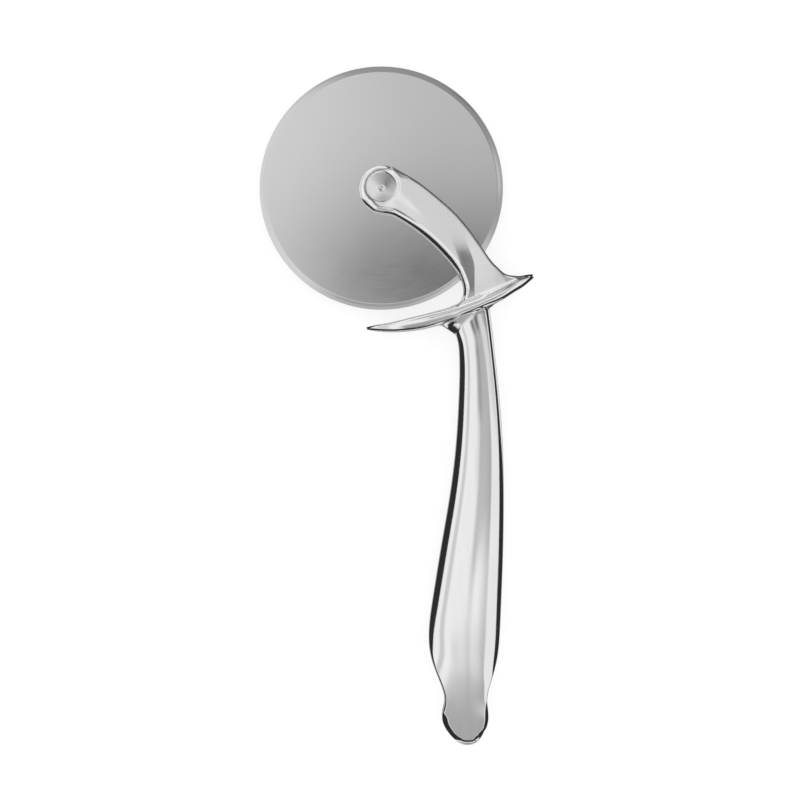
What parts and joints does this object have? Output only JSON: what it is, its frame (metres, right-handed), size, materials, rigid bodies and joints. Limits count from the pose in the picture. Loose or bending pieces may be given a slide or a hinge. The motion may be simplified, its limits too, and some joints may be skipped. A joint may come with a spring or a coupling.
{
  "type": "rotary pizza cutter",
  "caption": "Rotary pizza cutter: a bevelled steel wheel turns on a riveted axle in a slotted cast fork with a crossing finger guard and a hollow curved metal handle.",
  "frame": {"origin": "on the wheel's axis, at the centre of the rear axle cap's flat face, which is the plane that the cutter lies on", "axes": "+Z along the wheel's axis towards the front face, +Y along the cutter from the handle to the wheel, +X towards the short prong of the guard"},
  "size_m": [0.1014, 0.2507, 0.015],
  "materials": {
    "blade_steel": "fine satin, ground bevel",
    "bushing_acetal": "natural acetal",
    "axle_steel": "satin, softly polished",
    "cast_steel": "cast, satin faces and polished edges",
    "handle_steel": "polished stainless steel",
    "resin": "hidden tang resin"
  },
  "bodies": {
    "frame_body": {"yoke": "cast_steel", "axle_rivet": "axle_steel", "axle_cap": "axle_steel", "handle_front_shell": "handle_steel", "handle_back_shell": "handle_steel", "tang_cement": "resin"},
    "wheel_body": {"cutting_wheel": "blade_steel", "bushing_front": "bushing_acetal", "bushing_rear": "bushing_acetal"}
  },
  "joints": [
    {"name": "wheel_spin", "type": "hinge", "parent": "frame_body", "child": "wheel_body", "pos_m": [0, 0, 0.0075], "axis": [0, 0, 1], "continuous": true}
  ]
}
